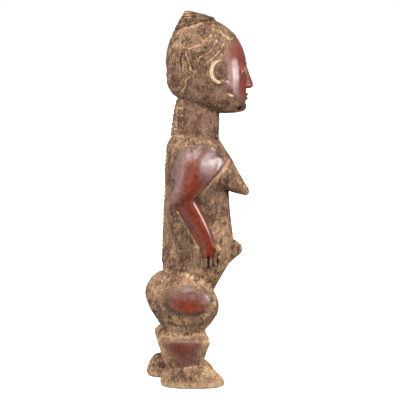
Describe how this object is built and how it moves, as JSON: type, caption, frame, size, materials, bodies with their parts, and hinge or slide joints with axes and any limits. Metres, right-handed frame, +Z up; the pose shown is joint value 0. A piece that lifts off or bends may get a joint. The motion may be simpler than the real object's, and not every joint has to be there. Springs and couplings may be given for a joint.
{
  "type": "ancestor figure",
  "caption": "Standing female ancestor figure carved from solid hardwood, with crested hair, ribbed nape band, arms in relief, heavy thighs and flat-soled feet.",
  "frame": {"origin": "On the floor plane under the middle of the figure's bounding box; the soles lie at z = 0.", "axes": "+Z up through the crest of the hair; the figure faces -Y; its own left side is towards +X."},
  "size_m": [0.142, 0.172, 0.5988],
  "materials": {
    "aged_hardwood": "worn patina"
  },
  "bodies": {
    "root": {"figure": "aged_hardwood"}
  },
  "joints": []
}
